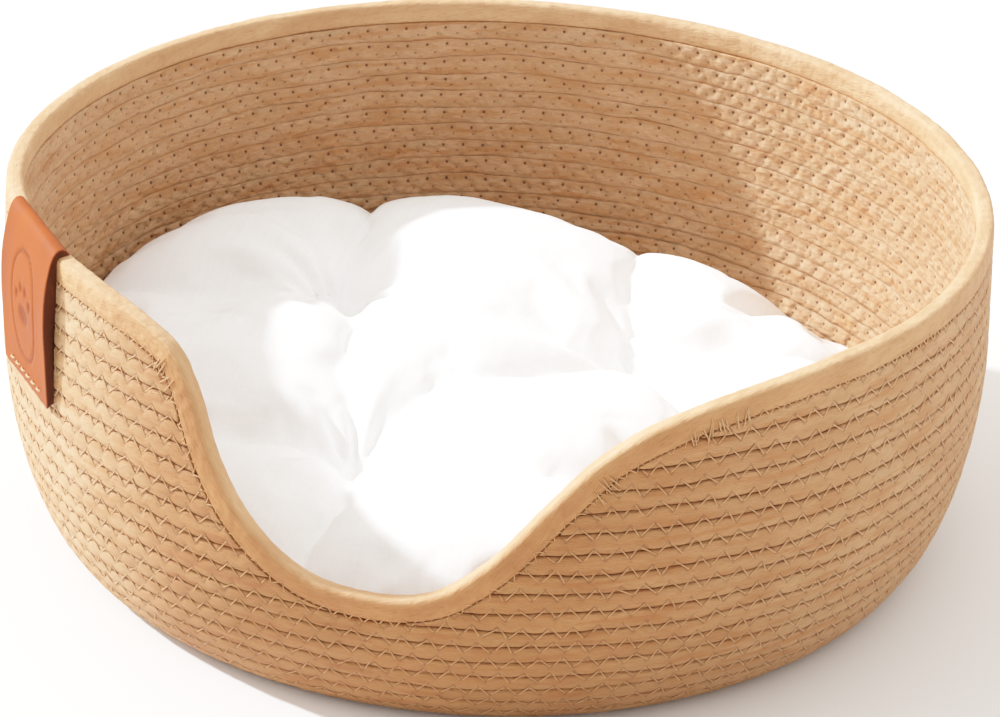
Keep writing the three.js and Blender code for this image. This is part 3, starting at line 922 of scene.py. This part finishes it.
class Nodes:
    """A short way to wire a node tree."""

    def __init__(self, tree):
        self.tree = tree

    def add(self, kind, **inputs):
        node = self.tree.nodes.new("ShaderNode" + kind)
        for key, value in inputs.items():
            self.put(node.inputs[key.replace("_", " ")], value)
        return node

    def put(self, socket, value):
        if isinstance(value, bpy.types.NodeSocket):
            self.tree.links.new(value, socket)
        else:
            socket.default_value = value

    def parts(self, vector):
        return tuple(self.add("SeparateXYZ", Vector=vector).outputs)

    def math(self, operation, first, second=0.0):
        node = self.tree.nodes.new("ShaderNodeMath")
        node.operation = operation
        self.put(node.inputs[0], first)
        self.put(node.inputs[1], second)
        return node.outputs[0]

    def plus(self, first, second):
        return self.math("ADD", first, second)

    def minus(self, first, second):
        return self.math("SUBTRACT", first, second)

    def times(self, first, *others):
        for other in others:
            first = self.math("MULTIPLY", first, other)
        return first

    def least(self, first, second):
        return self.math("MINIMUM", first, second)

    def most(self, first, second):
        return self.math("MAXIMUM", first, second)

    def mix(self, share, first, second, blend="MIX"):
        node = self.tree.nodes.new("ShaderNodeMix")
        node.data_type = "RGBA"
        node.blend_type = blend
        self.put(node.inputs[0], share)
        self.put(node.inputs[6], first)
        self.put(node.inputs[7], second)
        return node.outputs[2]

    def stain(self, share, colour, stain):
        """The colour multiplied by a stain, as far as the share says."""
        return self.mix(1.0, colour, self.mix(share, (1.0, 1.0, 1.0, 1.0), stain), "MULTIPLY")

    def span(self, value, low, high, to_low=0.0, to_high=1.0):
        node = self.tree.nodes.new("ShaderNodeMapRange")
        for index, number in enumerate((value, low, high, to_low, to_high)):
            self.put(node.inputs[index], number)
        return node.outputs[0]

    def noise(self, vector, scale, detail=3.0, roughness=0.5):
        node = self.add("TexNoise", Vector=vector, Scale=scale, Detail=detail, Roughness=roughness)
        return node.outputs["Fac"]

    def stretch(self, vector, scale):
        node = self.add("Mapping", Vector=vector)
        node.inputs["Scale"].default_value = scale
        return node.outputs[0]

    def attribute(self, name):
        node = self.tree.nodes.new("ShaderNodeAttribute")
        node.attribute_name = name
        return node.outputs["Fac"]

    def uv(self, name):
        node = self.tree.nodes.new("ShaderNodeUVMap")
        node.uv_map = name
        return node.outputs[0]

    def place(self):
        return self.tree.nodes.new("ShaderNodeTexCoord").outputs["Object"]

    def bump(self, height, distance, strength=1.0, before=None):
        node = self.add("Bump", Height=height, Strength=strength, Distance=distance)
        if before is not None:
            self.put(node.inputs["Normal"], before)
        return node.outputs[0]


class Surface(Nodes):
    """A node material with one shader."""

    def __init__(self, name):
        self.material = bpy.data.materials.new(name)
        self.material.use_nodes = True
        super().__init__(self.material.node_tree)
        self.shader = self.tree.nodes["Principled BSDF"]

    def finish(self, **sockets):
        for key, value in sockets.items():
            self.put(self.shader.inputs[key.replace("_", " ")], value)
        return self.material


def rgb(red, green, blue):
    """A linear colour from one written as 0 to 255."""
    def linear(value):
        value /= 255
        return value / 12.92 if value <= 0.04045 else ((value + 0.055) / 1.055) ** 2.4
    return (linear(red), linear(green), linear(blue), 1.0)


def painted_front_shade(n, colour, share, deep):
    """Painted shade: the paper is made a deeper brown in front, away from the key light, except to the
    left of the entrance.
    """
    x, y, _ = n.parts(n.place())
    forward = n.times(n.span(y, -0.11, -0.2), n.span(x, -0.14, -0.08), share)
    return n.stain(forward, colour, deep)


def shaded(n, colour, *layers):
    """The colour with shades laid over it, each as (noise, low, high, strength, shade)."""
    for noise, low, high, strength, shade in layers:
        colour = n.mix(n.span(noise, low, high, 0.0, strength), colour, rgb(*shade))
    return colour


def rope_grain(n, fibres, creases, crease_depth):
    """The height of the paper's surface, for a bump."""
    height = n.plus(n.times(fibres, 0.4), n.times(creases, crease_depth))
    return n.plus(height, n.times(n.noise(n.place(), 900.0, 2.0), 0.1))


def stitch_distances(n, name, hole_at, sign):
    """How far a point lies from a seam's zig-zag and from its nearest needle hole, in mm."""
    turn, level, _ = n.parts(n.uv(name))
    peak = n.math("ABSOLUTE", n.minus(n.math("FRACT", turn), 0.5))
    zigzag = n.times(n.minus(n.times(peak, 4.0), 1.0), sign * STITCH_REACH)
    line = n.times(n.math("ABSOLUTE", n.minus(level, zigzag)), LEG_SLOPE)
    along = n.minus(n.math("FRACT", n.plus(turn, hole_at + 0.5)), 0.5)
    along = n.times(along, STITCH_LENGTH)
    up = n.minus(level, STITCH_REACH)
    squares = n.plus(n.times(along, along), n.times(up, up))
    return line, n.math("SQRT", squares), level


def paper_rope():
    n = Surface("paper_rope")
    uv = n.stretch(n.uv("rope"), (0.01, 0.01, 0.01))
    fibres = n.noise(n.stretch(uv, (6, 110, 1)), 4.0, 5.0, 0.6)
    creases = n.noise(n.stretch(uv, (14, 60, 1)), 3.0, 3.0, 0.7)
    patches = n.noise(n.stretch(uv, (2.2, 9, 1)), 1.6, 2.0)
    hues = n.noise(n.stretch(uv, (1.4, 11, 1)), 2.3, 2.0)
    colour = n.mix(n.span(patches, 0.36, 0.64), rgb(192, 143, 98), rgb(211, 166, 124))
    colour = shaded(n, colour,
                    (hues, 0.5, 0.68, 0.9, (186, 124, 72)),
                    (hues, 0.46, 0.3, 0.8, (199, 163, 122)),
                    (fibres, 0.42, 0.64, 0.55, (164, 112, 66)),
                    (creases, 0.58, 0.7, 0.3, (120, 74, 40)),
                    (n.attribute("tint"), 0, 1, 0.3, (184, 134, 88)))
    line_low, hole_low, low = stitch_distances(n, "low", 0.0, 1)
    line_high, hole_high, high = stitch_distances(n, "high", 0.5, -1)
    outer = n.attribute("outer")
    inner = n.minus(1.0, outer)
    line = n.least(line_low, line_high)
    # Painted shade: thin dark lines beside the zig-zag thread on the outside, where the thread shadows
    # the rope.
    thread_shadow = n.times(n.span(line, 0.3, 0.65, 1.0, 0.0), outer, n.span(creases, 0.3, 0.6, 0.45, 1.0))
    # Painted shade: dark dots in the needle holes on the inside, fainter at the lower seam's holes.
    hole_shade = n.most(n.span(hole_high, 0.45, 0.9, 1.0, 0.0), n.span(hole_low, 0.38, 0.8, 0.6, 0.0))
    hole_shade = n.times(hole_shade, inner)
    # Painted shade: darker along the grooves between rows, broken up by the creases and weaker on the
    # inside.
    groove_shade = n.times(n.span(n.least(low, high), 0.2, 1.0, 1.0, 0.0),
                     n.span(creases, 0.36, 0.62, 0.05, 0.85), n.span(outer, 0, 1, 0.15, 1.0))
    # Painted shade: the thread lines, the grooves and the needle holes together.
    shade = n.most(n.times(thread_shadow, 0.52), n.most(groove_shade, hole_shade))
    colour = n.stain(outer, colour, (0.98, 0.92, 0.82, 1.0))
    # Painted shade on the front of the outside, as a deeper brown.
    colour = painted_front_shade(n, colour, outer, (0.68, 0.51, 0.28, 1.0))
    # Painted light: the outside to the left of the entrance, which faces the lights, is made paler.
    painted_left_light = n.times(n.span(n.parts(n.place())[0], -0.08, -0.14), outer)
    colour = n.stain(painted_left_light, colour, (1.08, 1.2, 1.36, 1.0))
    # The painted shade is laid on as a dark brown.
    colour = n.mix(n.times(shade, 0.9), colour, rgb(92, 50, 22))
    fine = n.bump(rope_grain(n, fibres, creases, 0.7), 0.0008)
    pillow = n.math("POWER", n.span(line, 0.0, 1.7, 0.0, 0.55), 0.6)
    pillow = n.times(pillow, outer, 0.26)
    pebbles = n.noise(n.stretch(n.place(), (1, 1, 1.5)), 200.0, 1.0, 0.4)
    dent = n.math("POWER", n.span(n.least(hole_low, hole_high), 0.0, 2.2, 0.0, 0.6), 0.6)
    dent = n.plus(n.times(dent, inner, 0.6), n.times(pebbles, inner, 2.6))
    coarse = n.bump(n.plus(pillow, dent), 0.0008, before=fine)
    rough = n.span(fibres, 0.3, 0.7, 0.6, 0.78)
    return n.finish(Base_Color=colour, Roughness=rough, Normal=coarse)


def binding_rope():
    n = Surface("binding_rope")
    turned = n.add("Mapping", Vector=n.stretch(n.uv("rope"), (0.01, 0.01, 0.01)))
    turned.inputs["Rotation"].default_value = (0, 0, 0.12)
    uv = turned.outputs[0]
    fibres = n.noise(n.stretch(uv, (3, 80, 1)), 4.0, 5.0, 0.6)
    creases = n.noise(n.stretch(uv, (9, 50, 1)), 3.0, 3.0, 0.7)
    patches = n.noise(n.stretch(uv, (2.0, 6, 1)), 1.6, 2.0)
    colour = n.mix(n.span(patches, 0.36, 0.64), rgb(194, 145, 98), rgb(212, 166, 120))
    colour = shaded(n, colour,
                    (fibres, 0.42, 0.64, 0.4, (180, 126, 80)),
                    (creases, 0.56, 0.68, 0.4, (140, 88, 48)))
    # Painted shade: the binding's outer face and underside are darkened, and made a deeper brown in
    # front; its top is left pale.
    side = n.attribute("side")
    colour = n.stain(side, colour, (0.9, 0.8, 0.68, 1.0))
    colour = painted_front_shade(n, colour, side, (0.7, 0.53, 0.32, 1.0))
    rough = n.span(fibres, 0.3, 0.7, 0.6, 0.78)
    pebbles = n.bump(n.noise(n.place(), 200.0, 1.0, 0.4), 0.0014)
    fine = n.bump(rope_grain(n, fibres, creases, 0.9), 0.0006, before=pebbles)
    return n.finish(Base_Color=colour, Roughness=rough, Normal=fine)


def sewing_thread():
    n = Surface("sewing_thread")
    fuzz = n.noise(n.place(), 1500.0, 2.0)
    colour = n.mix(n.span(fuzz, 0.3, 0.7), rgb(188, 142, 98), rgb(206, 162, 118))
    # Painted shade on the thread in front, as a deeper brown.
    colour = painted_front_shade(n, colour, 1.0, (0.76, 0.62, 0.44, 1.0))
    return n.finish(Base_Color=colour, Roughness=0.6, Normal=n.bump(fuzz, 0.0001))


def cotton():
    """Washed, slubbed cotton: fine threads both ways, thicker here and there."""
    n = Surface("white_cotton")
    place = n.place()
    warp = n.noise(n.stretch(place, (2600, 90, 500)), 1.0, 2.0, 0.6)
    weft = n.noise(n.stretch(place, (90, 2600, 500)), 1.0, 2.0, 0.6)
    slubs = n.noise(n.stretch(place, (700, 25, 100)), 1.0, 2.0, 0.5)
    crumple = n.noise(place, 45.0, 3.0, 0.55)
    threads = n.plus(warp, weft)
    height = n.plus(n.times(threads, 0.5), n.times(slubs, 0.5))
    colour = n.mix(n.span(n.plus(threads, slubs), 1.1, 1.9),
                   rgb(240, 239, 237), rgb(247, 247, 247))
    fine = n.bump(height, 0.00008)
    soft = n.bump(crumple, 0.0016, strength=0.6, before=fine)
    return n.finish(Base_Color=colour, Roughness=0.85, Normal=soft, Sheen_Weight=0.15)


def pale_fibre(name, grain, low, dark, light, rough, depth):
    """Loose or twisted white fibre, in two shades. grain is the noise's scale, detail and edge."""
    n = Surface(name)
    flecks = n.noise(n.place(), *grain)
    colour = n.mix(n.span(flecks, low, 1 - low), rgb(*dark), rgb(*light))
    return n.finish(Base_Color=colour, Roughness=rough, Normal=n.bump(flecks, depth))


def tan_leather():
    n = Surface("tan_leather")
    place = n.place()
    mottle = n.noise(place, 38.0, 4.0, 0.6)
    cells = n.add("TexVoronoi", Vector=place, Scale=1500.0).outputs["Distance"]
    pull = n.noise(place, 260.0, 4.0, 0.6)
    colour = n.mix(n.span(mottle, 0.32, 0.68), rgb(134, 59, 17), rgb(152, 70, 25))
    colour = shaded(n, colour,
                    (n.attribute("edge"), 0.2, 1.0, 0.75, (50, 22, 12)),
                    (n.attribute("pressed"), 0.15, 0.9, 0.6, (84, 34, 12)))
    height = n.plus(n.times(cells, 0.35), n.times(pull, 0.5))
    rough = n.span(mottle, 0.3, 0.7, 0.52, 0.66)
    return n.finish(Base_Color=colour, Roughness=rough, Normal=n.bump(height, 0.00025),
                    Specular_IOR_Level=0.1)


PAPER = paper_rope()
BINDING = binding_rope()
THREAD = sewing_thread()
COTTON = cotton()
FILLING = pale_fibre("fibre_filling", (160.0, 5.0, 0.7), 0.35, (226, 224, 220), (246, 245, 242),
                     0.95, 0.002)
TUFT_THREAD = pale_fibre("cotton_thread", (2200.0, 2.0), 0.3, (226, 220, 212), (246, 243, 238),
                         0.7, 0.0001)
LEATHER = tan_leather()


# ---------- camera, lights, floor

# The camera: angles in degrees, the distance and the point that it turns about in metres
VIEW_AZIMUTH, VIEW_ELEVATION, VIEW_DISTANCE = 12.0, 26.92, 1.464
VIEW_ROLL, VIEW_YAW, VIEW_PITCH = 2.3, -0.0825, -0.2224
VIEW_CENTRE = (0, 0, 0.07)
LENS = 126.2

WHITE = 2.6  # the brightness that the view shows as white


def direction(azimuth, elevation):
    a, e = math.radians(azimuth), math.radians(elevation)
    return Vector((math.cos(a) * math.cos(e), math.sin(a) * math.cos(e), math.sin(e)))


def make_camera():
    data = bpy.data.cameras.new("camera")
    camera = new_object("camera", data)
    data.sensor_width = 36
    data.lens = LENS
    data.clip_start, data.clip_end = 0.05, 50
    back = direction(VIEW_AZIMUTH - 90, VIEW_ELEVATION)
    camera.location = Vector(VIEW_CENTRE) + back * VIEW_DISTANCE
    turn = (-back).to_track_quat("-Z", "Y")
    for axis, angle in (((0, 0, 1), VIEW_ROLL), ((0, 1, 0), VIEW_YAW), ((1, 0, 0), VIEW_PITCH)):
        turn = turn @ Quaternion(axis, math.radians(angle))
    camera.rotation_mode = "QUATERNION"
    camera.rotation_quaternion = turn
    bpy.context.scene.camera = camera


def make_lights():
    sun_light("key", 8.7, 2.5, (0.97, 1.0, 1.06), 173, 35)
    sun_light("fill", 2.3, 50, (1.0, 0.98, 0.96), 187, 22)
    make_world()
    soft_shoulder()


def sun_light(name, energy, spread, colour, azimuth, elevation):
    """A distant light: its spread and the direction toward it are in degrees."""
    sun = bpy.data.lights.new(name, "SUN")
    sun.energy = energy
    sun.angle = math.radians(spread)
    sun.color = colour
    light = new_object(name, sun)
    light.rotation_mode = "QUATERNION"
    light.rotation_quaternion = (-direction(azimuth, elevation)).to_track_quat("-Z", "Y")


def soft_shoulder():
    """Bright tones flatten out before they reach white, as a camera's do."""
    view = bpy.context.scene.view_settings
    view.view_transform = "Standard"
    view.use_curve_mapping = True
    mapping = view.curve_mapping
    mapping.white_level = (WHITE, WHITE, WHITE)
    for share in (0.1, 0.2, 0.32, 0.45, 0.6, 0.8):
        shown = (1 - math.exp(-share * WHITE)) / (1 - math.exp(-WHITE))
        mapping.curves[3].points.new(share, shown)
    mapping.update()


def make_world():
    """A soft box of light: brighter overhead than near the floor, and dimmer at the front."""
    world = bpy.data.worlds.new("studio")
    world.use_nodes = True
    n = Nodes(world.node_tree)
    _, y, z = n.parts(n.add("TexCoord").outputs["Generated"])
    strength = n.times(n.span(z, 0.0, 1.0, 0.8, 2.7), n.span(y, -1.0, 1.0, 0.5, 1.3))
    background = n.tree.nodes["Background"]
    n.put(background.inputs["Color"], (1.0, 0.96, 0.92, 1.0))
    n.put(background.inputs["Strength"], strength)
    bpy.context.scene.world = world


def make_floor():
    half = 6000.0
    corners = np.array([[-half, -half, 0], [-half, half, 0], [half, -half, 0], [half, half, 0]])
    mesh = quad_mesh("floor", corners, np.array([[0, 2, 3, 1]]))
    n = Surface("floor")
    speckle = n.noise(n.place(), 3.0, 2.0)
    colour = n.mix(n.span(speckle, 0.3, 0.7), (0.79, 0.77, 0.74, 1), (0.82, 0.80, 0.77, 1))
    mesh.materials.append(n.finish(Base_Color=colour, Roughness=0.9))
    new_object("floor", mesh)


# ---------- assembly

make_camera()
make_lights()
make_floor()
lower_wall(PAPER)
rope_rows(PAPER)
for number, seam in enumerate(SEAMS[:-1]):
    wall_seam_thread(f"zigzag_thread_{number + 1:02d}", seam, THREAD)
binding(BINDING, THREAD)
base_spiral(PAPER)
leather_tag(LEATHER)
tag_stitches(THREAD)
cushion(COTTON, FILLING, TUFT_THREAD)
